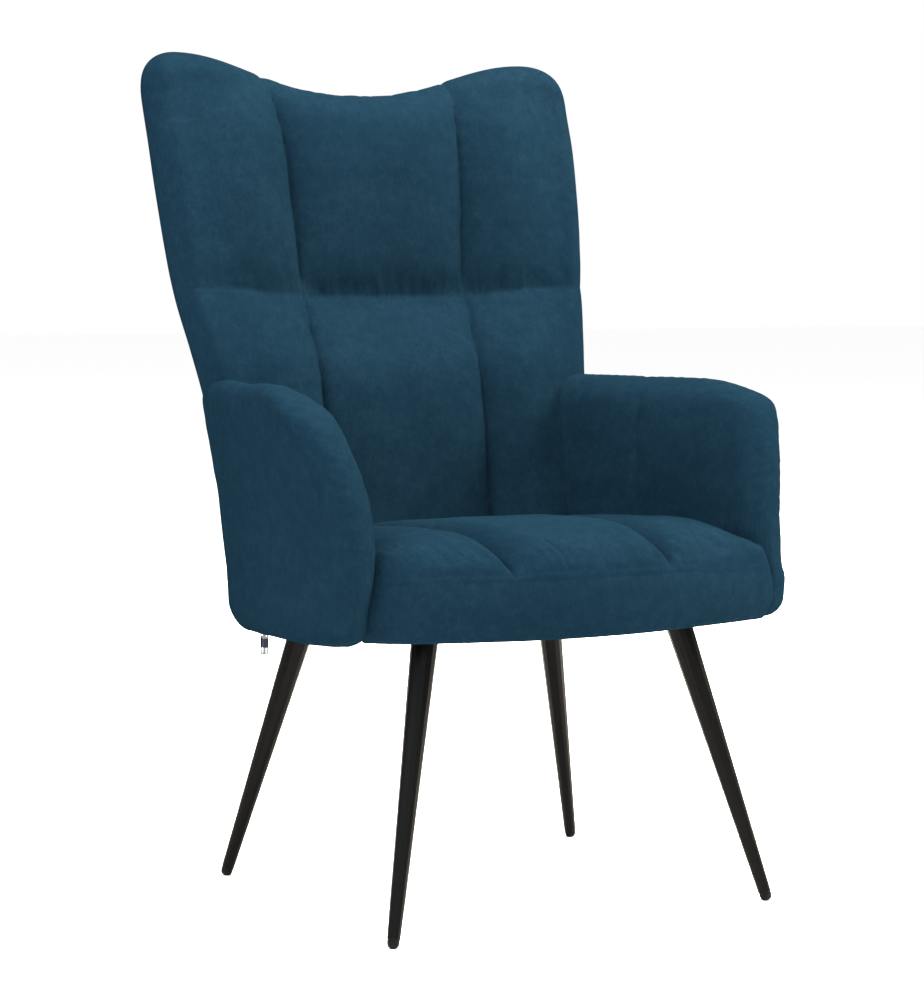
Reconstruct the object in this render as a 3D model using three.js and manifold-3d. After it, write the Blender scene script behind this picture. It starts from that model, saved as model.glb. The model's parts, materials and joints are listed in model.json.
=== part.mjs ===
// Upholstered tub armchair with a tall winged back, on four splayed tapered legs.
// Millimetres, +Z up, floor at z = 0, the sitter faces -Y, +X is the sitter's left.
// Frame of plywood and solid wood, zigzag seat springs, foam, sewn covers,
// screw-in steel legs with plastic tips, and a two-slider zip under one arm.
import * as THREE from 'three';
import Module from 'manifold-3d';
import { mergeVertices } from 'three/addons/utils/BufferGeometryUtils.js';

// ---------------------------------------------------------------- driving dimensions
const Y_SHIFT = -62.26;        // puts the middle of the overall depth at y = 0
const GAP = 0.4;              // clearance between neighbouring solids
const COVER = 3.0;            // cover thickness
const ARM_R = 29;             // half thickness of an arm
const ARM_TOP = 581;          // crest of the arms
const ARM_BOTTOM = 306;       // underside of the arms
const SEAT_TOP = 427;         // seat foam crown
const SEAT_BOTTOM = 316;      // lower edge of the seat front
const RAIL_Z0 = 326, RAIL_Z1 = 372;
const LINING_Z0 = 324.3, LINING_T = 1.2;
const LEG_TIP = { front: [236.5, -209], rear: [235.2, 209] };    // at z = 8
const LEG_TOP = { front: [145.5, -126], rear: [145.4, 130] };    // leg axis at z = 380
const LEG_R0 = 7, LEG_R1 = 15.3;
const PLATE_Z0 = 318.8, PLATE_Z1 = 323.8, PLATE_R = 24;
const POST_Y = 176, POST_Z = 330, LEAN = Math.atan(0.272);       // back frame plane
const PLY = 15;
const ZIP_AT = [-242.55, 82.88, 304.96], ZIP_DIR = [0.1451, 0.9884, -0.0445];
const ZIP_Y0 = -80, ZIP_Y1 = 37, SLIDER_MID = 9.5, SLIDER_AT = 5;

// tables of [height, value, ...]
const ARM_FRONT = [[300, 265, -150], [340, 265, -149], [380, 261, -153], [430, 260, -149], [460, 262, -145], [490, 267, -138],
  [520, 274, -127], [545, 281, -107], [560, 283, -80], [570, 284, -48], [581, 283, -5]];
const ARM_REAR = [[300, 221, 150], [340, 221, 162], [395, 222, 172], [483, 222, 198], [561, 224, 225], [581, 225, 230]];
const BACK_W = [[300, 248], [395, 251], [483, 251], [561, 254], [613, 262], [672, 271], [731, 277], [792, 283], [853, 286], [915, 286], [965, 286]];
const BACK_REAR = [[300, 181], [320, 186], [400, 205], [460, 220], [520, 237], [567, 253], [613, 268], [672, 289], [731, 304], [792, 318], [853, 333], [915, 353], [965, 364]];
const BACK_SEAM = [[300, 166], [330, 172], [411, 188], [453, 195], [502, 200], [555, 208], [597, 218], [635, 237], [674, 248], [732, 264], [793, 277], [854, 286], [922, 308], [965, 320]];
const BACK_EDGE_T = 57;       // thickness of the back at its rolled edges
const BACK_TOP = 965, BACK_TOP_MID = 918, WING_X = 236, WING_R = 50, BACK_BOTTOM = 312;

// ---------------------------------------------------------------- helpers
const wasm = await Module();
wasm.setup();
const { Manifold, Mesh: MMesh } = wasm;
const V = (x, y, z) => new THREE.Vector3(x, y, z);
const lerp = (t, z, k = 1) => {
  if (z <= t[0][0]) return t[0][k];
  for (let i = 1; i < t.length; i++) if (z <= t[i][0]) {
    const u = (z - t[i - 1][0]) / (t[i][0] - t[i - 1][0]);
    return t[i - 1][k] + u * (t[i][k] - t[i - 1][k]);
  }
  return t[t.length - 1][k];
};
function toManifold(geo, matrix) {
  let g = geo.clone();
  if (matrix) g.applyMatrix4(matrix);
  g.deleteAttribute('normal'); g.deleteAttribute('uv');
  g = mergeVertices(g, 1e-4);
  return new Manifold(new MMesh({ numProp: 3, vertProperties: new Float32Array(g.attributes.position.array), triVerts: new Uint32Array(g.index.array) }));
}
function fromManifold(m) {
  const q = m.getMesh();
  const g = new THREE.BufferGeometry();
  g.setAttribute('position', new THREE.BufferAttribute(new Float32Array(q.vertProperties), 3));
  g.setIndex(new THREE.BufferAttribute(new Uint32Array(q.triVerts), 1));
  g.computeVertexNormals();
  return g;
}
function raw(points, tris) {
  return new Manifold(new MMesh({ numProp: 3, vertProperties: new Float32Array(points.flat()), triVerts: new Uint32Array(tris.flat()) }));
}
const at = (x, y, z, rx = 0, ry = 0, rz = 0) =>
  new THREE.Matrix4().compose(V(x, y, z), new THREE.Quaternion().setFromEuler(new THREE.Euler(rx, ry, rz)), V(1, 1, 1));
const boxM = (x0, x1, y0, y1, z0, z1, matrix) => {
  const g = new THREE.BoxGeometry(x1 - x0, y1 - y0, z1 - z0);
  g.translate((x0 + x1) / 2, (y0 + y1) / 2, (z0 + z1) / 2);
  return toManifold(g, matrix);
};
const cylX = (x0, x1, y, z, r, n = 12) => {
  const g = new THREE.CylinderGeometry(r, r, x1 - x0, n);
  g.rotateZ(Math.PI / 2); g.translate((x0 + x1) / 2, y, z);
  return toManifold(g);
};
const cylZ = (x, y, z0, z1, r, n = 12) => {
  const g = new THREE.CylinderGeometry(r, r, z1 - z0, n);
  g.rotateX(Math.PI / 2); g.translate(x, y, (z0 + z1) / 2);
  return toManifold(g);
};
const mirrorX = (m) => m.mirror([1, 0, 0]);
const largest = (m) => m.decompose().sort((a, b) => b.volume() - a.volume())[0];
// loft of closed rings, each [[x, y, z], ...] counter-clockwise from above, bottom ring first
function loft(rings) {
  const n = rings[0].length, pts = rings.flat(), tris = [];
  for (let k = 0; k + 1 < rings.length; k++) for (let i = 0; i < n; i++) {
    const a = k * n + i, b = k * n + (i + 1) % n, c = a + n, d = b + n;
    tris.push([a, b, d], [a, d, c]);
  }
  for (const [k, flip] of [[0, true], [rings.length - 1, false]]) {
    const ring = rings[k].map((p) => new THREE.Vector2(p[0], p[1]));
    for (const f of THREE.ShapeUtils.triangulateShape(ring, [])) tris.push(flip ? [k * n + f[2], k * n + f[1], k * n + f[0]] : [k * n + f[0], k * n + f[1], k * n + f[2]]);
  }
  return raw(pts, tris);
}
function plate(outline, z0, z1) {   // prism over a counter-clockwise outline
  return loft([outline.map(([x, y]) => [x, y, z0]), outline.map(([x, y]) => [x, y, z1])]);
}

// ---------------------------------------------------------------- materials
const mat = (color, roughness, metalness = 0) => new THREE.MeshStandardMaterial({ color, roughness, metalness });
const velvet = mat(0x203e52, 0.85), foamM = mat(0xe9e2c8, 0.95), wood = mat(0xc9a878, 0.75), board = mat(0x8a6a48, 0.8);
const black = mat(0x0c0c0d, 0.42, 0.6), tip = mat(0x101010, 0.6), steel = mat(0x9a9c9e, 0.35, 1), webM = mat(0x2b2b2d, 0.9);
const liningM = mat(0x1a1b1d, 0.95), nickel = mat(0xc9ccd0, 0.22, 1), tapeM = mat(0x1b2f3d, 0.8);

const chair = new THREE.Group();
chair.position.set(0, Y_SHIFT, 0);
const put = (name, m, material, parent = chair) => {
  const mesh = new THREE.Mesh(m instanceof Manifold ? fromManifold(m) : m, material.clone());
  mesh.name = name;
  parent.add(mesh);
  return mesh;
};

// ---------------------------------------------------------------- soft shapes
const tilt = (z, y) => z + Math.max(0, (380 - z) / 74) * -0.045 * (y - 60);   // the underside falls towards the rear
function armSolid(side, inset, z0 = ARM_BOTTOM, z1 = ARM_TOP, levels = null) {
  const zs = (levels || [0, 4, 14, 60, 125, 185, 222, 246, 261, 270.5, 274.4]).map((d) => ARM_BOTTOM + d)
    .map((z) => z0 + inset + (z - ARM_BOTTOM) / (274.4) * (z1 - 0.6 - inset - z0 - inset));
  const rings = zs.map((z) => {
    const F = [lerp(ARM_FRONT, z, 1), lerp(ARM_FRONT, z, 2) + inset * 0.4], E = [lerp(ARM_REAR, z, 1), lerp(ARM_REAR, z, 2)];
    const top = z1 - inset, bot = z0 + inset, R = ARM_R - inset, RB = 14;
    let h = R;
    if (z > top - R) h = Math.sqrt(Math.max(R * R - (z - top + R) ** 2, 1));
    if (z < bot + RB) h = R - RB + Math.sqrt(Math.max(RB * RB - (bot + RB - z) ** 2, 0));
    const dir = Math.atan2(E[1] - F[1], E[0] - F[0]), nx = Math.sin(dir), ny = -Math.cos(dir);   // outwards
    const P = (t) => [F[0] + (E[0] - F[0]) * t + nx * 5 * Math.sin(Math.PI * t), F[1] + (E[1] - F[1]) * t + ny * 5 * Math.sin(Math.PI * t)];
    const ring = [];
    for (let i = 0; i <= 4; i++) { const p = P(i / 4); ring.push([p[0] + nx * h, p[1] + ny * h]); }
    for (let i = 1; i < 6; i++) { const a = dir - Math.PI / 2 + Math.PI * i / 6; ring.push([E[0] + h * Math.cos(a), E[1] + h * Math.sin(a)]); }
    for (let i = 4; i >= 0; i--) { const p = P(i / 4); ring.push([p[0] - nx * h, p[1] - ny * h]); }
    for (let i = 1; i < 6; i++) { const a = dir + Math.PI / 2 + Math.PI * i / 6; ring.push([F[0] + h * Math.cos(a), F[1] + h * Math.sin(a)]); }
    return ring.map(([x, y]) => [x, y, tilt(z, y)]);
  });
  const m = loft(rings);
  return side > 0 ? m : mirrorX(m);
}
const backTop = (x) => {
  const a = Math.abs(x);
  if (a < WING_X) return BACK_TOP_MID + (BACK_TOP - BACK_TOP_MID) * (0.5 - 0.5 * Math.cos(Math.PI * (a / WING_X) ** 1.15));
  return BACK_TOP - WING_R + Math.sqrt(Math.max(WING_R ** 2 - (a - WING_X) ** 2, 0));
};
const yRear = (x, z) => lerp(BACK_REAR, z) + 12 * (1 - (x / lerp(BACK_W, z)) ** 2);
const yFront = (x, z) => {
  const c = lerp(BACK_SEAM, z) + 1, e = lerp(BACK_REAR, z) - BACK_EDGE_T;
  return c + (e - c) * Math.min(1, Math.abs(x) / lerp(BACK_W, z)) ** 2;
};
function backSolid(inset, bottom) {
  const S = [-1, -0.98, -0.94, -0.87, -0.6, -0.3, 0, 0.3, 0.6, 0.87, 0.94, 0.98, 1];
  const T = [bottom, ...[312, 350, 400, 500, 565, 620, 674, 740, 860].filter((z) => z > bottom + 1), 0.35, 0.65, 0.85, 0.96, 1];
  const rho = BACK_EDGE_T / 2 - inset, ns = S.length, nt = T.length, pts = [], F = [], B = [];
  T.forEach((t, j) => S.forEach((s, i) => {
    const xt = s * (286 - inset), zt = backTop(xt) - inset, z = t > 2 ? t : 860 + (zt - 860) * t, w = lerp(BACK_W, z) - inset, x = s * w;
    const q = (d) => Math.sqrt(Math.max(0, 1 - (1 - Math.min(1, Math.max(0, d) / rho)) ** 2));
    const p = q(w * (1 - Math.abs(s))) * q((zt - z));
    const mid = (yFront(x, z) + yRear(x, z)) / 2, h = (yRear(x, z) - yFront(x, z)) / 2 - inset;
    const edge = i === 0 || i === ns - 1 || j === nt - 1;
    pts.push([x, edge ? mid : mid - h * p, z]); F[j * ns + i] = pts.length - 1;
    if (edge) B[j * ns + i] = F[j * ns + i]; else { pts.push([x, mid + h * p, z]); B[j * ns + i] = pts.length - 1; }
  }));
  const tris = [], quad = (a, b, c, d) => { for (const t of [[a, b, c], [a, c, d]]) if (new Set(t).size === 3) tris.push(t); };
  for (let j = 0; j + 1 < nt; j++) for (let i = 0; i + 1 < ns; i++) {
    const k = j * ns + i;
    quad(F[k], F[k + 1], F[k + 1 + ns], F[k + ns]);
    quad(B[k + 1], B[k], B[k + ns], B[k + 1 + ns]);
  }
  for (let i = 0; i + 1 < ns; i++) quad(F[i + 1], F[i], B[i], B[i + 1]);
  return raw(pts, tris);
}
function seatSolid(inset, top, bottom) {
  const out = [];
  const half = [[0, -238], [50, -235], [97, -226], [145, -213], [195, -200], [235, -190], [254, -184], [263, -176], [262, -168], [252, -160], [243, -100], [236, 0], [226, 180]];
  half.forEach(([x, y]) => out.push([x, y]));
  half.slice(1).reverse().forEach(([x, y]) => out.push([-x, y]));
  const shrink = (p, d) => { const a = Math.abs(p[0]), s = Math.sign(p[0]); const f = 0.35 + 0.6 * Math.min(1, Math.max(0, (a - 190) / 72)); return [s * Math.max(a - d * f, 0), p[1] < -150 ? p[1] + d : p[1] - (p[1] > 150 ? d : 0)]; };
  const prof = [[bottom + inset, 3], [bottom + inset + 8, 0], ...[[60, 0], [42, 2], [26, 9], [12, 24], [0, 48]].map(([k, d]) => [top - inset - k, d])];
  return loft(prof.map(([z, d]) => out.map((p) => { const q = shrink(p, inset + d); return [q[0], q[1], z]; })));
}

const band = backSolid(0, BACK_BOTTOM), bandFat = backSolid(-GAP, BACK_BOTTOM - 40);
const leanPlane = (dy) => at(0, 158 + dy, 320, -Math.atan(0.284), 0, 0);
const frontHalf = boxM(-400, 400, -300, 0, -300, 900, leanPlane(-0.3)), rearHalf = boxM(-400, 400, 0, 300, -300, 900, leanPlane(0.3));
const shell = band.subtract(backSolid(COVER, BACK_BOTTOM - 30));
const boltY = -130, boltZ = 364, boltR = 3.5;

// arms
for (const [side, tag] of [[1, 'right'], [-1, 'left']]) {
  const outer = armSolid(side, 0);
  let cover = outer.subtract(armSolid(side, COVER)).subtract(bandFat);
  let foam = armSolid(side, COVER + 1.3).subtract(bandFat);
  const dirA = Math.atan2(34, 290), M = new THREE.Matrix4().makeRotationZ(side * dirA).premultiply(new THREE.Matrix4().makeTranslation(side * 263, -140, 0));
  const xs = (a, b) => (side > 0 ? [a, b] : [-b, -a]);
  foam = foam.subtract(boxM(...xs(-11 - GAP, 15.4 + GAP), -10 - GAP, 255 + GAP, 200, 497, M)).subtract(boxM(...xs(-11 - GAP, 15.4 + GAP), 14 - GAP, 255 + GAP, 480, 520 + GAP, M));
  const hole = side > 0 ? cylX(190, 272, boltY, boltZ, boltR + GAP) : cylX(-272, -190, boltY, boltZ, boltR + GAP);
  cover = cover.subtract(hole); foam = foam.subtract(hole);
  if (side < 0) {   // slot under the arm that the zip closes
    const a = V(...ZIP_DIR).normalize(), x = V(1, 0, 0).sub(a.clone().multiplyScalar(a.x)).normalize(), z = x.clone().cross(a);
    const Z = new THREE.Matrix4().makeBasis(x, a, z).setPosition(V(...ZIP_AT));
    const slot = boxM(-4.5, 4.5, ZIP_Y0 - 1, ZIP_Y1 + 1, -6, 6, Z);
    cover = cover.subtract(slot); foam = foam.subtract(slot);
  }
  put(`arm_cover_${tag}`, largest(cover), velvet);
  put(`arm_foam_${tag}`, largest(foam), foamM);
  const post = boxM(...xs(-11, 11), -10, 30, RAIL_Z0, 497, M).subtract(hole);
  put(`arm_front_post_${tag}`, post, wood);
  put(`arm_rear_post_${tag}`, boxM(...xs(-11, 11), 215, 255, RAIL_Z0, 497, M), wood);
  put(`arm_top_rail_${tag}`, boxM(...xs(-11, 11), 14, 255, 497.4, 520, M), wood);
  put(`arm_side_board_${tag}`, boxM(...xs(11.4, 15.4), -10, 255, RAIL_Z0, 497, M).add(boxM(...xs(11.4, 15.4), 14, 255, 490, 520, M)), board);
  const b = cylX(200.4, 268, boltY, boltZ, boltR).add(cylX(194.5, 200.6, boltY, boltZ, 6.5, 6));
  put(`arm_bolt_${tag}`, side > 0 ? b : mirrorX(b), steel);
}

// back
put('back_inner_cover', largest(shell.intersect(frontHalf).subtract(boxM(-213, 213, 0, 400, 200, 379.6))), velvet);
put('back_outer_cover', largest(shell.intersect(rearHalf)), velvet);
const leanGroup = at(0, POST_Y, POST_Z, -LEAN, 0, 0);
const foamCut = boxM(-206, 206, -PLY / 2 - 3.2, 200, -80, 590, leanGroup);
put('back_foam', largest(backSolid(COVER + 1.3, 380).subtract(foamCut)), foamM);
const leanNode = new THREE.Group();
leanNode.position.set(0, POST_Y, POST_Z);
leanNode.rotation.x = -LEAN;
chair.add(leanNode);
const boxG = (x0, x1, y0, y1, z0, z1) => new THREE.BoxGeometry(x1 - x0, y1 - y0, z1 - z0).translate((x0 + x1) / 2, (y0 + y1) / 2, (z0 + z1) / 2);
put('back_post_right', boxG(165, 205, -PLY / 2, PLY / 2, -2, 580), wood, leanNode);
put('back_post_left', boxG(-205, -165, -PLY / 2, PLY / 2, -2, 580), wood, leanNode);
put('back_top_rail', boxG(-164.6, 164.6, -PLY / 2, PLY / 2, 545, 580), wood, leanNode);
put('back_middle_rail', boxG(-164.6, 164.6, -PLY / 2, PLY / 2, 262, 306), wood, leanNode);
[['lower', 100], ['middle', 205], ['upper', 440]].forEach(([n, z]) => put(`back_webbing_${n}`, boxG(-203, 203, -PLY / 2 - 2.4, -PLY / 2 - 0.4, z, z + 50), webM, leanNode));

// seat
const armsFat = armSolid(1, -GAP).add(armSolid(-1, -GAP));
const seatOuter = seatSolid(0, SEAT_TOP + 3, SEAT_BOTTOM), seatInner = seatSolid(COVER, SEAT_TOP + 3, SEAT_BOTTOM - 30);
let seatCover = seatOuter.subtract(seatInner).subtract(armsFat).subtract(bandFat);
// behind the front band only the top skin stays, so that the frame below is free
seatCover = seatCover.subtract(boxM(-300, 300, -150, 300, 200, 379));
const parts = seatCover.decompose().sort((a, b) => b.volume() - a.volume());
put('seat_cover', parts[0], velvet);
let seatFoam = seatSolid(COVER + 1.3, SEAT_TOP, SEAT_BOTTOM).subtract(armsFat).subtract(bandFat)
  .subtract(boxM(-300, 300, -176 - GAP, 300, 200, 378));
put('seat_foam', seatFoam.decompose().sort((a, b) => b.volume() - a.volume())[0], foamM);

put('seat_front_rail', boxM(-203, 203, -176, -154, RAIL_Z0, RAIL_Z1), wood);
put('seat_rear_rail', boxM(-180, 180, 153.3, 166.7, RAIL_Z0, RAIL_Z1), wood);
for (const [side, tag] of [[1, 'right'], [-1, 'left']]) {
  const a = Math.atan2(33, 300), M = at(side * 196.5, 0, 0, 0, 0, side * a);
  const hole = side > 0 ? cylX(190, 272, boltY, boltZ, boltR + GAP) : cylX(-272, -190, boltY, boltZ, boltR + GAP);
  put(`seat_side_rail_${tag}`, boxM(-9, 9, -152.6, 151.4, RAIL_Z0, RAIL_Z1, M).subtract(hole), wood);
}

// legs, tips, studs, nuts and corner blocks
const blocks = { front: [[197, -153.4], [196, -98], [172, -98], [118, -153.4]], rear: [[169.4, 152.8], [112, 152.8], [162, 98], [175, 98]] };
for (const [side, tag] of [[1, 'right'], [-1, 'left']]) for (const end of ['front', 'rear']) {
  const t0 = V(side * LEG_TIP[end][0], LEG_TIP[end][1], 8), t1 = V(side * LEG_TOP[end][0], LEG_TOP[end][1], 380);
  const axis = t1.clone().sub(t0).normalize();
  const c = t0.clone().addScaledVector(axis, (6.0 - 8) / axis.z);           // centre of the rounded tip
  const L = (PLATE_Z1 + 4 - c.z) / axis.z;
  const M = new THREE.Matrix4().makeRotationFromQuaternion(new THREE.Quaternion().setFromUnitVectors(V(0, 1, 0), axis)).setPosition(c);
  const lathe = (p, n) => toManifold(new THREE.LatheGeometry(p.map(([r, y]) => new THREE.Vector2(r, y)), n), M);
  const leg = lathe([[0, 14.6], [4.4, 14.6], [4.4, 3.6], [LEG_R0, 3.6], [LEG_R0 + 0.25, 4.4], [LEG_R1, L], [0, L]], 14);
  const s = c.clone().addScaledVector(axis, (PLATE_Z0 - c.z) / axis.z);
  put(`leg_${end}_${tag}`, leg.subtract(boxM(-400, 400, -400, 400, PLATE_Z1, 500)).add(cylZ(s.x, s.y, PLATE_Z0, PLATE_Z1, PLATE_R, 20)), black);
  const cap = lathe([[0, -7], [2.7, -6.46], [4.95, -4.95], [6.46, -2.7], [7, 0], [7, 3.2], [4, 3.2], [4, 14], [0, 14]], 12);
  put(`foot_tip_${end}_${tag}`, cap.subtract(boxM(-400, 400, -400, 400, -20, 0)), tip);
  put(`leg_stud_${end}_${tag}`, cylZ(s.x, s.y, PLATE_Z1 + 0.3, 358, 4, 10), steel);
  const nut = new THREE.LatheGeometry([[4.4, 340], [5.5, 340], [5.5, 350.3], [8.8, 350.3], [8.8, 351.8], [4.4, 351.8], [4.4, 340]].map(([r, y]) => new THREE.Vector2(r, y)), 12);
  nut.rotateX(Math.PI / 2); nut.translate(s.x, s.y, 0);
  put(`tee_nut_${end}_${tag}`, toManifold(nut), steel);
  const o = blocks[end].map(([x, y]) => [side * x, y]);
  const area = o.reduce((q, p, i) => q + p[0] * o[(i + 1) % o.length][1] - p[1] * o[(i + 1) % o.length][0], 0);
  put(`corner_block_${end}_${tag}`, plate(area > 0 ? o : o.reverse(), RAIL_Z0, 350).subtract(cylZ(s.x, s.y, 300, 400, 5.9)), wood);
  blocks[`${end}${side}`] = [s.x, s.y];
}
let lining = plate([[-214, -175.4], [214, -175.4], [222, -120], [186, 150], [0, 152], [-186, 150], [-222, -120]], LINING_Z0, LINING_Z0 + LINING_T).subtract(armsFat).subtract(bandFat);
for (const k of ['front1', 'front-1', 'rear1', 'rear-1']) lining = lining.subtract(cylZ(...blocks[k], 300, 340, 5));
put('base_lining', lining.decompose().sort((a, b) => b.volume() - a.volume())[0], liningM);

// zigzag springs across the seat frame
[['left', -105], ['middle', 0], ['right', 105]].forEach(([n, x0]) => {
  const pts = [];
  for (let i = 0; i <= 14; i++) pts.push(V(x0 + (i % 2 ? 20 : -20) * (i === 0 || i === 14 ? 0.3 : 1), -166 + 330 * i / 14, 374.6));
  const curve = new THREE.CatmullRomCurve3(pts, false, 'catmullrom', 0.5);
  const sec = new THREE.Shape(Array.from({ length: 4 }, (_, k) => new THREE.Vector2(2 * Math.cos(Math.PI * k / 2), 2 * Math.sin(Math.PI * k / 2))));
  put(`seat_spring_${n}`, toManifold(new THREE.ExtrudeGeometry(sec, { steps: 45, extrudePath: curve, bevelEnabled: false })), steel);
});

// two-slider zip under the left arm
const za = V(...ZIP_DIR).normalize(), zx = V(1, 0, 0).sub(za.clone().multiplyScalar(za.x)).normalize(), zz = zx.clone().cross(za);
const zip = new THREE.Group();
zip.applyMatrix4(new THREE.Matrix4().makeBasis(zx, za, zz).setPosition(V(...ZIP_AT)));
chair.add(zip);
for (const [s, tag] of [[1, 'inner'], [-1, 'outer']]) {
  const sec = new THREE.Shape([[0.5, -0.4], [10, -0.4], [10, -1.2], [2.4, -1.2], [2.4, -2.8], [0.5, -2.8]].map(([x, z]) => new THREE.Vector2(s * x, z)));
  const g = new THREE.ExtrudeGeometry(sec, { depth: ZIP_Y1 - ZIP_Y0, bevelEnabled: false });
  g.rotateX(Math.PI / 2); g.translate(0, ZIP_Y1, 0);     // section in x-z, length along y
  put(`zip_tape_${tag}`, toManifold(g), tapeM, zip);
}
for (const [s, tag] of [[-1, 'front'], [1, 'rear']]) {
  const y = SLIDER_MID + s * SLIDER_AT, B = (x0, x1, y0, y1, z0, z1) => boxM(x0, x1, y + y0, y + y1, z0, z1);
  const slider = B(-4.2, 4.2, -4.2, 4.2, -4.2, -3.1).add(B(-4.2, -2.8, -4.2, 4.2, -3.2, -1.5)).add(B(2.8, 4.2, -4.2, 4.2, -3.2, -1.5))
    .add(B(-0.2, 0.2, -1.6, 1.6, -3.2, 0)).add(B(-3.6, 3.6, -4.2, 4.2, -0.1, 1.0))
    .add(B(-1, 1, -3.4, -2.6, -6.6, -4.1)).add(B(-1, 1, 2.6, 3.4, -6.6, -4.1)).add(B(-1, 1, -3.4, 3.4, -6.6, -5.6));
  put(`zip_slider_${tag}`, slider, nickel, zip);
  const bar = new THREE.CylinderGeometry(0.45, 0.45, 4, 8); bar.rotateZ(Math.PI / 2); bar.translate(0, y, -4.9);
  bar.translate(0, -y, 4.9);
  const P = (x0, x1, y0, y1, z0, z1) => boxM(x0, x1, y0, y1, z0 + 4.9, z1 + 4.9);
  const pull = toManifold(bar).add(P(-3.3, -1.6, -0.4, 0.4, -9, -4.45)).add(P(1.6, 3.3, -0.4, 0.4, -9, -4.45)).add(P(-3.3, 3.3, -0.4, 0.4, -30, -8.9))
    .subtract(P(-1.4, 1.4, -1, 1, -28, -22.5));
  const hinge = new THREE.Group(), up = V(0, 0, 1).addScaledVector(zx, -zx.z).normalize();
  hinge.applyMatrix4(new THREE.Matrix4().makeBasis(zx, up.clone().cross(zx), up).setPosition(V(...ZIP_AT).addScaledVector(za, y).addScaledVector(zz, -4.9)));
  chair.add(hinge);
  put(`zip_pull_${tag}`, pull, nickel, hinge);
}

export default chair;
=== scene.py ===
# Upholstered wingback tub armchair in petrol-blue velvet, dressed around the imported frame.
import bpy, bmesh, json, math, time
import numpy as np
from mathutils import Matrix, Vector


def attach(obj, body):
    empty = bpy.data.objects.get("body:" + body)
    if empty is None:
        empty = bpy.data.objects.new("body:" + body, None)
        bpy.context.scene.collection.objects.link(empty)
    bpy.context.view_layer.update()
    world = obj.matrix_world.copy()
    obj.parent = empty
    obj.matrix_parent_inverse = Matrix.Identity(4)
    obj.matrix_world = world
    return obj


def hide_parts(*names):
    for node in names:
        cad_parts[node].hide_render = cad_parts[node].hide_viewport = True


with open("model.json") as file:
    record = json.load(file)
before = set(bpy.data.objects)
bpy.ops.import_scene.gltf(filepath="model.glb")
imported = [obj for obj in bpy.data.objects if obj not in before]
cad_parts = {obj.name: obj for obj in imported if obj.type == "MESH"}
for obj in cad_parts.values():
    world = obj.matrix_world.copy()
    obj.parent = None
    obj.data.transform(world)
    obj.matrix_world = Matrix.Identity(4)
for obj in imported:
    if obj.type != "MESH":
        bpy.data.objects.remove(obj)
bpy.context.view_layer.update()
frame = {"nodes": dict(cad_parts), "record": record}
scene = bpy.context.scene
MM = 0.001
YS = -62.26                    # mm, the shift that centres the depth; shapes below are written before it
rng = np.random.RandomState(7)

# ------------------------------------------------------------------ tables of the upholstered shape, mm
ARM_FRONT = {1: np.array([[296, 267, -149], [325, 269, -151], [357, 271.5, -153], [380, 266, -154], [405, 265.0, -152.5], [430, 265.2, -149.5], [460, 266.4, -145],
                          [490, 270.4, -138], [520, 274.8, -127.5], [545, 281.2, -112], [560, 285.5, -93.5], [570, 287, -59], [583, 286, -6]], float),
             -1: np.array([[296, 267, -150], [340, 268, -150.5], [380, 263, -153], [430, 260, -149], [460, 262, -144.5], [490, 268, -136.5],
                           [520, 276, -124.5], [545, 282.5, -107], [560, 285, -84], [570, 285.5, -55], [583, 284, -4]], float)}
ARM_REAR = np.array([[296, 221.5, 153.5], [340, 221, 159.5], [370, 221, 162.5], [395, 221.5, 166], [440, 222.2, 178.5], [483, 223, 193.5], [520, 223.8, 209.5], [561, 225.5, 226], [583, 227, 231]], float)
BACK_W = np.array([[296, 248], [395, 251], [483, 251], [561, 254], [613, 262], [672, 271.5], [700, 275], [731, 278], [792, 282.5], [853, 285], [915, 286], [965, 286]], float)
BACK_REAR = np.array([[296, 180], [320, 186], [400, 205], [460, 220], [520, 237], [567, 253], [613, 268], [672, 289], [731, 304], [792, 318], [853, 333], [915, 353], [965, 364]], float)
SEAM_Y = np.array([[296, 166], [330, 172], [411, 188], [453, 195], [502, 200], [555, 208], [597, 218], [635, 237], [674, 257], [732, 267], [793, 276], [854, 287], [900, 303], [936, 322], [965, 330]], float)
SEAM_X = np.array([[296, 110], [674, 110], [732, 112], [793, 116], [854, 119], [890, 122], [922, 126], [965, 128]], float)


def spline(tab, z, k=1):
    """Smooth monotone-ish interpolation (Catmull-Rom on the table), clamped at both ends."""
    x, y = tab[:, 0], tab[:, k]
    z = np.clip(z, x[0], x[-1])
    i = np.clip(np.searchsorted(x, z, side="right") - 1, 0, len(x) - 2)
    m = np.gradient(y, x)
    h = x[i + 1] - x[i]
    t = (z - x[i]) / h
    return ((2 * t**3 - 3 * t**2 + 1) * y[i] + (t**3 - 2 * t**2 + t) * h * m[i] + (-2 * t**3 + 3 * t**2) * y[i + 1] + (t**3 - t**2) * h * m[i + 1])


def sstep(a, b, x):
    t = np.clip((x - a) / (b - a), 0, 1)
    return t * t * (3 - 2 * t)


def rise(r, p=0.62):
    """0 at a seam, 1 once the pad is full."""
    r = np.clip(r, 0, 1)
    return (1 - (1 - r) ** 2) ** p


def noise1(x, seed, scale):
    """Smooth 1-D noise in -1..1."""
    r = np.random.RandomState(seed)
    k = r.uniform(-1, 1, 4096)
    u = np.asarray(x, float) / scale + 2000
    i = np.floor(u).astype(int)
    f = u - i
    f = f * f * (3 - 2 * f)
    return k[i % 4096] * (1 - f) + k[(i + 1) % 4096] * f


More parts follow.
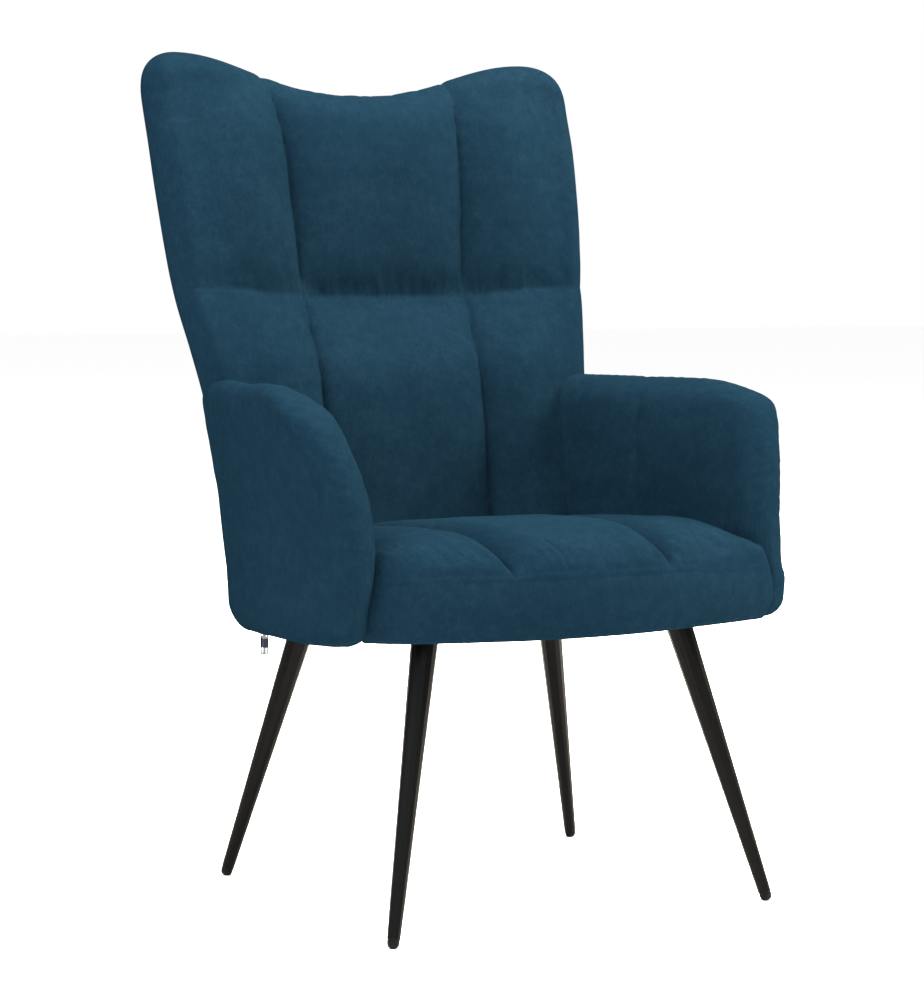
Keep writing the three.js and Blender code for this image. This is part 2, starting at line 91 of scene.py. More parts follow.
def noise2(x, y, seed, scale):
    r = np.random.RandomState(seed)
    g = r.uniform(-1, 1, (256, 256))
    u, v = np.asarray(x, float) / scale + 128, np.asarray(y, float) / scale + 128
    i, j = np.floor(u).astype(int), np.floor(v).astype(int)
    fu, fv = u - i, v - j
    fu, fv = fu * fu * (3 - 2 * fu), fv * fv * (3 - 2 * fv)
    a, b, c, d = g[i % 256, j % 256], g[(i + 1) % 256, j % 256], g[i % 256, (j + 1) % 256], g[(i + 1) % 256, (j + 1) % 256]
    return (a * (1 - fu) + b * fu) * (1 - fv) + (c * (1 - fu) + d * fu) * fv


def ridges(x, seed, scale, sharp=1.6):
    """Irregular folds: rounded crests with narrow valleys, 0..1."""
    n = np.abs(noise1(x, seed, scale)) * 0.75 + np.abs(noise1(x, seed + 1, scale * 0.55)) * 0.35
    return np.clip(n, 0, 1) ** (1 / sharp)


def normals(P):
    """Unit normals of a grid of points P[row, column, 3]."""
    du, dv = np.gradient(P, axis=1), np.gradient(P, axis=0)
    n = np.cross(du, dv)
    return n / np.maximum(np.linalg.norm(n, axis=2, keepdims=True), 1e-9)


def mesh_object(name, verts, faces, smooth=True):
    me = bpy.data.meshes.new(name)
    v = np.asarray(verts, float).reshape(-1, 3).copy()
    v[:, 1] += YS
    me.from_pydata((v * MM).tolist(), [], faces)
    me.validate()
    me.update()
    bm = bmesh.new()
    bm.from_mesh(me)
    bmesh.ops.recalc_face_normals(bm, faces=bm.faces)
    bm.to_mesh(me)
    bm.free()
    ob = bpy.data.objects.new(name, me)
    scene.collection.objects.link(ob)
    if smooth:
        me.polygons.foreach_set("use_smooth", [True] * len(me.polygons))
    return ob


def grid_faces(nr, nc, wrap=False, flip=False, base=0):
    out = []
    for j in range(nr - 1):
        for i in range(nc if wrap else nc - 1):
            a, b = base + j * nc + i, base + j * nc + (i + 1) % nc
            q = (a, b, b + nc, a + nc)
            out.append(q[::-1] if flip else q)
    return out


def blur(A, su, sv):
    """Gaussian blur of a grid along its columns and rows."""
    def one(A, sig, axis):
        n = int(3 * sig) + 1
        k = np.exp(-0.5 * (np.arange(-n, n + 1) / sig) ** 2)
        k /= k.sum()
        pad = [(0, 0)] * A.ndim
        pad[axis] = (n, n)
        B_ = np.pad(A, pad, mode="edge")
        out = np.zeros_like(A)
        for i, w in enumerate(k):
            sl = [slice(None)] * A.ndim
            sl[axis] = slice(i, i + A.shape[axis])
            out += w * B_[tuple(sl)]
        return out
    return one(one(A, su, 1), sv, 0)


def settle(P, rest, pin, where=1.0, frames=16, pressure=2.0, bend=0.35, cap=6.0, keep=1.0, su=7.0, sv=7.0):
    """Runs cloth on a grid of points whose cut size is `rest`, held where pin is 1, and returns the grid with
    the folds that the spare cloth makes. Its slow part is taken off, so the pad keeps its own crown."""
    nr_, nc_ = P.shape[:2]
    me = bpy.data.meshes.new("cloth")
    me.from_pydata((P.reshape(-1, 3) * MM).tolist(), [], grid_faces(nr_, nc_))
    me.update()
    ob = bpy.data.objects.new("cloth", me)
    scene.collection.objects.link(ob)
    ob.shape_key_add(name="Basis")
    key = ob.shape_key_add(name="cut")
    key.data.foreach_set("co", (rest.reshape(-1, 3) * MM).ravel())
    key.value = 0.0
    vg = ob.vertex_groups.new(name="pin")
    w = pin.ravel()
    for lev in np.unique(np.round(w, 1)):
        if lev > 0:
            vg.add(np.where(np.round(w, 1) == lev)[0].tolist(), float(lev), "REPLACE")
    md = ob.modifiers.new("cloth", "CLOTH")
    c = md.settings
    c.quality = 6
    c.mass = 0.25
    c.tension_stiffness = c.compression_stiffness = 18
    c.shear_stiffness = 6
    c.bending_stiffness = bend
    c.tension_damping = c.compression_damping = c.shear_damping = 4
    c.bending_damping = 0.4
    c.air_damping = 3
    c.vertex_group_mass = "pin"
    c.use_pressure = True
    c.uniform_pressure_force = pressure
    c.rest_shape_key = key
    c.effector_weights.gravity = 0
    md.collision_settings.use_collision = False
    md.collision_settings.use_self_collision = False
    md.point_cache.frame_start, md.point_cache.frame_end = 1, frames
    for f in range(1, frames + 1):
        scene.frame_set(f)
    dg = bpy.context.evaluated_depsgraph_get()
    ev = ob.evaluated_get(dg)
    co = np.empty(nr_ * nc_ * 3)
    ev.data.vertices.foreach_get("co", co)
    Q = co.reshape(nr_, nc_, 3) / MM
    bpy.data.objects.remove(ob)
    bpy.data.meshes.remove(me)
    scene.frame_set(1)
    if not np.isfinite(Q).all():
        return P
    D_ = Q - P
    D_ = (D_ - blur(D_, su, sv) * keep) * np.broadcast_to(where, P.shape[:2])[..., None]
    L_ = np.linalg.norm(D_, axis=2, keepdims=True)
    return P + D_ * np.minimum(1, cap / np.maximum(L_, 1e-6))


# ------------------------------------------------------------------ back
def top_z(x):
    a = np.abs(x)
    body = 921.5 + 43.5 * (0.5 - 0.5 * np.cos(np.pi * np.clip(a / 236, 0, 1) ** 1.2))
    wing = 915 + np.maximum(50.0**2.3 - np.maximum(a - 236, 0) ** 2.3, 0) ** (1 / 2.3)
    z = np.where(a < 236, body, wing)
    # the seams pull the top edge down a little, and the gathers scallop it
    return z - 2.2 * np.exp(-((a - 126) / 5.0) ** 2) - 1.8 * (1 - ridges(x, 51, 16.0)) * sstep(132, 112, a)


def hseam_z(x):
    return 674 + 11.5 * sstep(95, 215, np.abs(x))


def back_front(x, z):
    """y of the padded front face."""
    a = np.abs(x)
    xs = spline(SEAM_X, z)
    w = spline(BACK_W, z)
    seam = spline(SEAM_Y, z)
    edge = spline(BACK_REAR, z) - 63
    u = (a - xs) / (w - 26 - xs)
    side = (edge - seam) * np.clip(u, 0, 1.15) ** 1.25
    centre = 15 * (1 - np.clip(a / xs, 0, 1) ** 2) * sstep(980, 700, z)
    M = seam + centre + side
    dv = np.abs(a - xs)
    dh = np.abs(z - hseam_z(x))
    upper = z > hseam_z(x)
    inner = a < xs
    amp = np.where(inner, np.where(upper, 27, 28), np.where(upper, 23, 22))
    wide = np.where(inner, 90, 80)
    fade = 1 - 0.35 * sstep(880, 940, z)
    tail = np.where(inner, 1.0, 1 - 0.88 * sstep(0.35, 1.0, u))
    puff = amp * rise(dv / wide, np.where(inner, 0.66, 0.6)) * (0.30 + 0.70 * rise(dh / np.where(upper, 120, 110), np.where(upper, 0.80, 0.60))) * fade * tail
    th = np.clip((z - 674) / 246, 0, 1)
    puff += np.where(upper, 5.0 * 1.9 * th * (1 - th), 0) * rise(dv / wide, 0.9) * tail
    pinch = np.where(upper, 2.3 * np.exp(-dh / 3.2), 1.8 * np.exp(-dh / 2.2)) * rise(dv / 22, 0.8) * (0.55 + 0.45 * tail)
    pinch += np.where(inner, 0, 3.2 * sstep(0.3, 0.8, u)) * np.exp(-dh / 9.0)
    vseam = 2.0 * np.exp(-dv / 2.6)
    y = M - puff + pinch + vseam
    # gathers: short folds that die away from the seam
    k = ridges(x + 5 * noise1(z, 5, 40), 11, 12.5)
    k2 = ridges(x + 4 * noise1(z, 6, 40), 23, 12.0)
    hgt = 22 + 8 * noise1(x, 33, 21)
    gather = np.where(upper, 3.8 * k * rise(dh / 6, 0.9) * np.exp(-(dh / hgt) ** 2.0) * (0.75 + 0.35 * noise1(x, 31, 45)), 2.0 * k2 * np.exp(-(dh / 13.0) ** 1.3))
    y += gather * rise(dv / 14, 0.8) * np.where(inner, 1.0, 0.7 * tail + 0.1)
    # gathers along the top edge of the centre panel
    dt = np.maximum(top_z(x) - z, 0)
    y += 3.2 * ridges(x + 0.35 * dt, 51, 16.0) * np.exp(-((dt - 6) / 24.0) ** 2) * inner
    # small tucks along the vertical seams
    kv = ridges(z + 0.3 * dv, 41, 15.0)
    y += 1.5 * kv * np.exp(-(dv / 11.0) ** 1.2) * sstep(1, 6, dv) * sstep(660, 700, z)
    # soft unevenness of the filling
    y += 1.3 * noise2(x, z, 3, 62) + 0.6 * noise2(x, z, 4, 27)
    return y


def back_rear(x, z):
    w = spline(BACK_W, z)
    return spline(BACK_REAR, z) + 12 * (1 - np.clip(np.abs(x) / w, 0, 1) ** 2) + 0.8 * noise2(x, z, 9, 70)


def build_back():
    e = 1 - np.cos(np.linspace(0, np.pi / 2, 16))       # finer towards the rolled edge
    edge = e / e[-1] * 0.105
    s_half = np.concatenate([np.linspace(0, 0.895, 110)[:-1], 1 - edge[::-1]])
    s = np.concatenate([-s_half[::-1][:-1], s_half])
    te = edge[::-1] * 40
    rows = np.concatenate([np.linspace(0, 1, 190)])
    S, R = np.meshgrid(s, rows)
    xt = S * 286
    zt = top_z(xt)
    # rows fan out from a level bottom to the shaped top edge, finer towards the top
    xb = S * 249
    zb = 309.0 + 24 * np.clip((np.abs(xb) - 200) / 49, 0, 1) ** 2.2
    r = R + 0.016 * np.sin(2 * np.pi * R) * 0
    r = np.where(R > 0.9, 0.9 + 0.1 * np.sin((R - 0.9) / 0.1 * np.pi / 2), r)
    Z = np.where(r < 0.86, zb + (905 - zb) * r / 0.86, 905 + (zt - 905) * ((r - 0.86) / 0.14))
    W = spline(BACK_W, Z)
    X = S * W
    rho = 28.5
    q = lambda d: np.sqrt(np.maximum(0, 1 - (1 - np.clip(d / rho, 0, 1)) ** 2))
    p = q(W * (1 - np.abs(S))) * q(zt - Z)
    eb = np.clip((zb + 24 - Z) / 24, 0, 1)
    p = p * np.sqrt(np.maximum(1 - eb**2, 0)) ** 0.8
    yf, yr = back_front(X, Z), back_rear(X, Z)
    base_f = spline(SEAM_Y, Z) + (spline(BACK_REAR, Z) - 63 - spline(SEAM_Y, Z)) * np.clip(np.abs(X) / W, 0, 1) ** 2
    mid = (base_f + yr) / 2
    F = np.stack([X, mid + (yf - mid) * p, Z], 2)
    B = np.stack([X, mid + (yr - mid) * p, Z], 2)
    # shallow groove where the rear panel is sewn to the front cover
    edge_d = np.minimum(W * (1 - np.abs(S)), zt - Z)
    B[..., 1] -= 2.6 * np.exp(-((edge_d - 17) / 3.0) ** 2) * (Z > 330)
    return F, B


F, B = build_back()
nr, nc = F.shape[:2]
X_, Z_ = F[..., 0], F[..., 2]
dh_ = Z_ - hseam_z(X_)
dv_ = np.abs(np.abs(X_) - spline(SEAM_X, Z_))
dt_ = top_z(X_) - Z_
cut = F.copy()
spare = 0.085 * np.exp(-(np.clip(dh_, 0, None) / 30.0) ** 2) * (dh_ >= 0) + 0.045 * np.exp(-(dh_ / 18.0) ** 2) * (dh_ < 0) + 0.05 * np.exp(-(dt_ / 35.0) ** 2) * (np.abs(X_) < 128)
cut[..., 0] *= 1 + spare
pin_ = np.zeros((nr, nc))
pin_[(np.abs(dh_) < 2.2) | (dv_ < 1.6)] = 1
pin_[:, :6] = pin_[:, -6:] = 1
pin_[:4] = pin_[-4:] = 1
t0 = time.time()
near = np.maximum(np.exp(-(dh_ / 40.0) ** 2), np.exp(-(dt_ / 38.0) ** 2) * (np.abs(X_) < 130))
near = np.clip(near + 0.25 * np.exp(-(dv_ / 14.0) ** 2), 0.05, 1) * (1.6 - 0.6 * sstep(110, 150, np.abs(X_)))
F = settle(F, cut, pin_, near, pressure=1.5)
hold = rise(dv_ / 16, 0.8) * np.where(np.abs(X_) < 130, 1.0, 0.6)
F[..., 1] += 2.9 * ridges(X_ + 0.15 * dh_, 61, 13.0) * np.exp(-((dh_ - 11) / 13.0) ** 2) * (dh_ > 1) * hold
F[..., 1] += 1.1 * ridges(X_ - 0.8 * dh_, 63, 9.0) * np.exp(-((dh_ + 8) / 7.0) ** 2) * (dh_ < -1) * hold
print("cloth back", round(time.time() - t0, 1), "s")
front_v, rear_v = F.reshape(-1, 3), B.reshape(-1, 3)
back_front_ob = mesh_object("back_quilted_cover", front_v, grid_faces(nr, nc))
back_rear_ob = mesh_object("back_rear_cover", rear_v, grid_faces(nr, nc, flip=True))

# ------------------------------------------------------------------ arms
def arm_tilt(z, y):
    low = np.clip((380 - z) / 74, 0, 1)
    return z + low * (-0.045 * (y - 60) + 0.0045 * np.clip(y - 106, 0, 60) ** 2)


def mesh_arrays(me):
    n, e = len(me.vertices), len(me.edges)
    co, no, ed = np.empty(n * 3), np.empty(n * 3), np.empty(e * 2, int)
    me.vertices.foreach_get("co", co)
    me.vertices.foreach_get("normal", no)
    me.edges.foreach_get("vertices", ed)
    return co.reshape(-1, 3) / MM, no.reshape(-1, 3), ed.reshape(-1, 2)


def relax(co, ed, w, steps, lam=0.5):
    """Laplacian smoothing with a weight for each point."""
    n = len(co)
    deg = np.bincount(ed.ravel(), minlength=n).astype(float)[:, None]
    for _ in range(steps):
        acc = np.zeros_like(co)
        for k in range(3):
            acc[:, k] = np.bincount(ed[:, 0], co[ed[:, 1], k], n) + np.bincount(ed[:, 1], co[ed[:, 0], k], n)
        co = co + (acc / np.maximum(deg, 1) - co) * (lam * w[:, None])
    return co


def arm_detail(P, N, side):
    """How far each point of the arm's surface moves out along its normal."""
    X, Y, Z = P[:, 0], P[:, 1], P[:, 2]
    D = np.zeros(len(P))
    # outer side: a soft valley behind the front roll
    w_out = sstep(-0.25, 0.55, N[:, 0])
    w_in = sstep(0.35, 0.85, -N[:, 0])
    vy = spline(np.array([[296, -188], [368, -172], [397, -160], [447, -142], [488, -126], [519, -112], [537, -98], [554, -82], [570, -66], [590, -50]], float), Z)
    dl = Y - vy + 1
    strength = sstep(300, 350, Z) * sstep(574, 535, Z) * w_out
    D -= 7.0 * np.exp(-np.where(dl > 0, dl / 27.0, dl / 27.0) ** 2) * strength
    D += 2.6 * sstep(18, 100, dl) * sstep(585, 520, Z) * w_out * sstep(250, 150, Y)
    # upright waves on the outer panel
    D += 1.1 * noise1(Y + 6 * noise1(Z, 61, 60), 62, 24) * sstep(300, 360, Z) * sstep(590, 540, Z) * w_out * sstep(5, 30, dl)
    # fine cross folds on the roll, beside the valley
    fold = ridges(Z + 0.25 * Y + 3 * noise1(Y, 72, 20), 71, 9.0)
    D -= 1.5 * fold * np.exp(-((dl + 24) / 18.0) ** 2) * sstep(395, 450, Z) * sstep(572, 540, Z) * sstep(-0.9, -0.1, N[:, 0]) * (0.6 + 0.5 * noise1(Z, 73, 30))
    # the same on the front edge of the roll's inner side, fainter
    D -= 0.9 * ridges(Z - 0.3 * X, 75, 8.0) * np.exp(-((N[:, 1] + 0.9) / 0.35) ** 2) * sstep(380, 430, Z) * sstep(565, 530, Z)
    # inner side: an upright seam that fades towards the seat, with a dimple at its top
    di = np.abs(Y - 32 - 19 * np.clip((Z - 455) / 100, -0.4, 1))
    D -= 1.3 * np.exp(-(di / 3.6) ** 1.4) * w_in * sstep(566, 552, Z) * (0.3 + 0.7 * sstep(450, 520, Z))
    D -= 2.0 * np.exp(-((Y - 51) / 7.0) ** 2 - ((Z - 556) / 6.0) ** 2) * w_in
    D += 2.2 * rise(di / 60, 0.7) * w_in * sstep(585, 560, Z) * sstep(-150, -90, Y) * sstep(160, 120, Y)
    # crest: a small tuck and soft unevenness
    up = sstep(0.3, 0.9, N[:, 2])
    D -= up * (1.9 * np.exp(-((Y - 86) / 5.5) ** 2) * (side > 0) + 0.7 * ridges(Y, 77, 11.0) * np.exp(-((Y - 70) / 45.0) ** 2) - 0.5 * noise1(Y, 79, 45))
    D += 0.9 * noise2(Y + 3 * X, Z, 80 + (side > 0), 45) + 0.4 * noise2(Y + 3 * X, Z, 84, 19)
    return D


def build_arm(side):
    nz = 120
    zb, zt = 304.0, 581.5
    k = np.linspace(0, 1, nz)
    zz = zb + (zt - zb) * (0.5 - 0.5 * np.cos(np.pi * k)) * 0.7 + (zt - zb) * k * 0.3
    rings = []
    n_side, n_cap = 90, 30
    R = 29.0
    for z in zz:
        Fc = np.array([spline(ARM_FRONT[side], z, 1), spline(ARM_FRONT[side], z, 2)])
        E = np.array([spline(ARM_REAR, z, 1), spline(ARM_REAR, z, 2)])
        h0 = R if z < zt - R else math.sqrt(max(R * R - (z - zt + R) ** 2, 0.04))

        def half(t):
            """Half width at t along the arm: the lower edge is rounder at the front roll."""
            rb = 13.0 + (12.0 if side > 0 else 4.0) * sstep(0.22, 0.0, t)
            return np.where(z < zb + rb, R - rb + np.sqrt(np.maximum(rb * rb - np.maximum(zb + rb - z, 0) ** 2, 0)), h0)

        d = E - Fc
        d /= np.linalg.norm(d)
        n = np.array([d[1], -d[0]])
        t = np.linspace(0, 1, n_side)
        C = Fc + np.outer(t, E - Fc) + np.outer(5 * np.sin(np.pi * t), n)
        hh = half(t)
        h_f, h_r = float(half(np.array([0.0]))[0]), float(half(np.array([1.0]))[0])
        a0 = math.atan2(n[1], n[0])
        ang = a0 + np.linspace(0, math.pi, n_cap + 2)[1:-1]
        rear = E + h_r * np.stack([np.cos(ang), np.sin(ang)], 1)
        ang2 = a0 + math.pi + np.linspace(0, math.pi, n_cap + 2)[1:-1]
        front = Fc + h_f * np.stack([np.cos(ang2), np.sin(ang2)], 1)
        ring = np.concatenate([C + n * hh[:, None], rear, (C - n * hh[:, None])[::-1], front])
        rings.append(np.concatenate([ring, arm_tilt(z, ring[:, 1])[:, None]], 1))
    P = np.array(rings)
    m = P.shape[1]

    def cap(row):
        base = row * m
        outs = [base + i for i in range(n_side)]
        inns = [base + n_side + n_cap + n_side - 1 - i for i in range(n_side)]
        f = [(outs[i], outs[i + 1], inns[i + 1], inns[i]) for i in range(n_side - 1)]
        f.append(tuple([base + n_side - 1] + [base + n_side + i for i in range(n_cap)] + [base + n_side + n_cap]))
        f.append(tuple([base + 2 * n_side + n_cap - 1] + [base + 2 * n_side + n_cap + i for i in range(n_cap)] + [base]))
        return f
    raw = mesh_object("raw", P.reshape(-1, 3), grid_faces(nz, m, wrap=True) + cap(nz - 1) + cap(0))
    md = raw.modifiers.new("even", "REMESH")
    md.mode = "VOXEL"
    md.voxel_size = 0.0034
    dg = bpy.context.evaluated_depsgraph_get()
    me = bpy.data.meshes.new_from_object(raw.evaluated_get(dg))
    bpy.data.objects.remove(raw)
    co, no, ed = mesh_arrays(me)
    z = co[:, 2]
    co = relax(co, ed, 0.25 + 0.75 * sstep(535, 560, z), 14)
    co = relax(co, ed, 0.15 + 0.85 * sstep(545, 565, z) * sstep(160, 60, co[:, 1]), 10)
    me.vertices.foreach_set("co", (co * MM).ravel())
    me.update()
    co, no, ed = mesh_arrays(me)
    W_ = co.copy()
    W_[:, 1] -= YS
    co = co + no * (arm_detail(W_, no, side) + 0.5)[:, None]
    y, up = W_[:, 1], sstep(520, 575, W_[:, 2])
    lift = np.interp(y, [-160, -130, -100, -60, -20], [3.0, 2.4, 0.4, -1.0, -1.1]) if side > 0 else 3.4 * np.exp(-((y + 22) / 62.0) ** 4)
    co[:, 2] += lift * up
    co = relax(co, ed, np.full(len(co), 0.35), 1)
    if side < 0:
        co[:, 0] *= -1
        me.flip_normals()
    me.vertices.foreach_set("co", (co * MM).ravel())
    me.polygons.foreach_set("use_smooth", [True] * len(me.polygons))
    me.update()
    ob = bpy.data.objects.new("arm_cushion_" + ("right" if side > 0 else "left"), me)
    scene.collection.objects.link(ob)
    return ob


arm_r, arm_l = build_arm(1), build_arm(-1)

# ------------------------------------------------------------------ seat
FRONT = np.array([[0, -236], [50, -233.5], [97, -226], [145, -214], [195, -202], [232, -192], [250, -186.5], [260, -179], [263, -170], [258, -161], [250, -155]], float)
FRONT_L = np.array([[0, -236], [50, -233.5], [97, -226], [145, -213], [185, -200], [213, -187.5], [230, -175.5], [241.5, -163.5], [247, -156.5], [249, -152], [247, -148]], float)


def front_curve(u):
    """Plan point on the front seam for u in -1..1."""
    def one(pts):
        seg = np.linalg.norm(np.diff(pts, axis=0), axis=1)
        L = np.concatenate([[0], np.cumsum(seg)])
        tab = np.concatenate([L[:, None] / L[-1], pts], 1)
        a = np.abs(u)
        return spline(tab, a, 1), spline(tab, a, 2)
    r, l = one(FRONT), one(FRONT_L)
    return np.where(u > 0, r[0], -l[0]), np.where(u > 0, r[1], l[1])


def build_seat():
    nu = 261
    uu = np.linspace(-1, 1, nu)
    cx, cy = front_curve(uu)
    zs = 382.3 - np.where(cx > 0, 8, 2) * sstep(95, 215, np.abs(cx)) - np.where(uu > 0, 26, 18) * sstep(0.84, 1.0, np.abs(uu))
    n_top, n_band, n_tuck = 120, 34, 8
    v = np.linspace(0, 1, n_top)
    v = 1 - (1 - v) ** 1.5                                   # finer towards the front
    yrear = 205.0
    U = np.repeat(uu[None, :], n_top, 0)
    V_ = np.repeat(v[:, None], nu, 1)
    CY, CX, ZS = cy[None, :], cx[None, :], zs[None, :]
    Y = yrear + (CY - yrear) * V_
    armx = 236 - 0.094 * (np.clip(Y, -150, 250) + 145)
    lin = U * (armx + 2) 
    # seam u -> x mapping keeps the outer columns along the arm until the front corner
    wgt = sstep(-95, -170, Y)
    scale = np.abs(CX) / np.maximum(np.abs(U), 1e-6) / 263
    X = (CX / 263 * (armx + 2)) * (1 - wgt) + CX * wgt
    d = Y - CY                                               # distance back from the front seam
    crown = 430 + 1.5 * np.exp(-((Y + 100) / 60) ** 2) - 0.0003 * np.clip(Y + 100, 0, 400) ** 2 - 4.0 * sstep(-85, -150, X) - 3.5 * sstep(90, 150, X)
    gx = 99 + 8 * sstep(-180, 60, Y)                          # the grooves drift outwards to the rear
    dg = np.abs(np.abs(X) - gx)
    side_d = np.maximum((armx + 2) - np.abs(X), 0)
    r_front = rise(d / 84, 0.44)
    H = (crown - ZS) * r_front
    low = 0.5 + 9 * rise(d / 230, 0.9)                       # height of the grooves above the front seam
    groove = 1 - rise(dg / 40, 0.50)
    depth = np.maximum(H - low, 0)
    sidef = 1 - rise(side_d / np.where(X > 0, 64, 56), 0.50)
    side_depth = np.where(X > 0, 36, 30) * sstep(0, 60, d)
    Z = ZS + H - depth * groove - side_depth * sidef
    # pucker fan near the front seam, sloping across each channel
    fan = ridges(X + 0.55 * d, 91, 12.0)
    ch = rise(dg / 26, 0.8)
    Z -= 2.7 * fan * (0.65 + 0.6 * noise2(X, d, 93, 17)) * np.exp(-((d - 12) / 17.0) ** 2) * ch
    Z -= 1.4 * ridges(X - 0.3 * d, 95, 9.0) * np.exp(-((d - 3) / 9.0) ** 2)
    # folds running off the grooves
    Z -= 0.9 * ridges(Y + 0.4 * X, 97, 13.0) * np.exp(-((dg - 12) / 12.0) ** 2) * sstep(20, 60, d) * sstep(230, 120, d)
    Z += 0.9 * noise2(X, Y, 99, 55) + 0.4 * noise2(X, Y, 100, 24)
    top = np.stack([X, Y, Z], 2)
    # front band, from the seam to the lower edge
    w = np.linspace(0, 1, n_band)[1:]
    Wb = np.repeat(w[:, None], nu, 1)
    zb = 319.2 + 8 * sstep(0.88, 1.0, uu)
    nx_, ny_ = np.gradient(cx), np.gradient(cy)
    ln = np.hypot(nx_, ny_)
    onx, ony = ny_ / ln, -nx_ / ln                           # outwards
    bulge = 5.5 * (np.sin(np.pi * np.clip(Wb * 0.92 + 0.02, 0, 1)) ** 0.55) - 7.0 * Wb**3
    ripple = 0.5 * noise2(Wb * 60, np.repeat(uu[None, :] * 300, n_band - 1, 0), 103, 30)
    off = bulge + ripple - 0.6 * ridges(np.repeat(cx[None, :], n_band - 1, 0), 105, 11) * np.exp(-(Wb * 66 / 9) ** 2)
    bx = cx[None, :] + onx[None, :] * off
    by = cy[None, :] + ony[None, :] * off
    bz = zs[None, :] + (zb - zs)[None, :] * Wb
    band = np.stack([bx, by, bz], 2)
    # turn under
    k = np.linspace(0, 1, n_tuck + 1)[1:]
    ang = k * math.pi * 0.5
    lx, ly = band[-1, :, 0], band[-1, :, 1]
    tuck = []
    for a in ang:
        off = 7 * (1 - math.cos(a))
        dz = -5 * math.sin(a)
        tuck.append(np.stack([lx - onx * off, ly - ony * off, zb + dz], 1))
    tuck.append(np.stack([lx - onx * 16, ly - ony * 16, zb - 5], 1))
    tuck.append(np.stack([lx - onx * 22, ly - ony * 22, zb + 8], 1))
    G = np.concatenate([top, band, np.array(tuck)], 0)
    end = sstep(0.80, 0.93, np.abs(uu))[None, :, None]
    for _ in range(60):
        S_ = G.copy()
        S_[1:-1] = 0.25 * G[:-2] + 0.5 * G[1:-1] + 0.25 * G[2:]
        rowf = np.exp(-((np.arange(G.shape[0]) - (n_top - 1)) / 18.0) ** 2)[:, None, None]
        G = G + (S_ - G) * end * rowf
    r0 = n_top - 1
    T = G[:r0 + 16]
    cut = T.copy()
    dd = np.concatenate([d, np.zeros((16 - 1, nu))], 0)[:T.shape[0]]
    cut[..., 0] *= 1 + 0.075 * np.exp(-(dd / 30.0) ** 2) * (np.arange(T.shape[0]) < r0)[:, None]
    pin = np.zeros(T.shape[:2])
    pin[:3] = pin[-3:] = pin[:, :3] = pin[:, -3:] = 1
    pin[r0] = 1
    pin[:r0 + 1][np.abs(np.abs(X) - gx) < 1.3] = 1
    t1 = time.time()
    w_ = np.zeros(T.shape[:2])
    w_[:r0 + 1] = np.clip(1.5 * np.exp(-((d - 10) / 32.0) ** 2) + 0.5 * np.exp(-(dg / 12.0) ** 2), 0.15, 1.5)
    G[:r0 + 16] = settle(T, cut, pin, w_, pressure=1.5, frames=14)
    print("cloth seat", round(time.time() - t1, 1), "s")
    # the sewn seam: soft shoulders with a fine groove between them
    N = normals(G)
    soft = G.copy()
    for _ in range(3):
        soft[1:-1] = 0.25 * soft[:-2] + 0.5 * soft[1:-1] + 0.25 * soft[2:]
    rows = np.arange(G.shape[0])[:, None, None]
    G = G + (soft - G) * np.exp(-((rows - r0) / 3.0) ** 2)
    G -= N * (1.3 * np.exp(-((rows - r0) / 0.9) ** 2)) * (1 - end)
    pleat = ridges(X + 0.5 * d, 91, 11.0) * (0.35 + 0.9 * np.clip(0.5 + noise2(X, d, 93, 30), 0, 1)) * np.exp(-((d - 15) / 13.0) ** 2) * ch
    G[:n_top] -= N[:n_top] * 3.6 * pleat[..., None]
    return G, r0


G, seam_row = build_seat()
seat_ob = mesh_object("seat_cushion", G.reshape(-1, 3), grid_faces(G.shape[0], G.shape[1], flip=True))

# ------------------------------------------------------------------ materials
def new_mat(name):
    m = bpy.data.materials.new(name)
    m.use_nodes = True
    nt = m.node_tree
    bsdf = nt.nodes["Principled BSDF"]
    return m, nt, bsdf


def node(nt, kind, **kw):
    n = nt.nodes.new(kind)
    for k, v in kw.items():
        if k in n.inputs:
            n.inputs[k].default_value = v
        else:
            setattr(n, k, v)
    return n


def coords(nt):
    return node(nt, "ShaderNodeTexCoord").outputs["Object"]


def ramp(nt, src, stops):
    r = node(nt, "ShaderNodeValToRGB")
    els = r.color_ramp.elements
    while len(els) < len(stops):
        els.new(0.5)
    for e, (p, c) in zip(els, stops):
        e.position = p
        e.color = (*c, 1) if len(c) == 3 else c
    nt.links.new(src, r.inputs[0])
    return r.outputs[0]


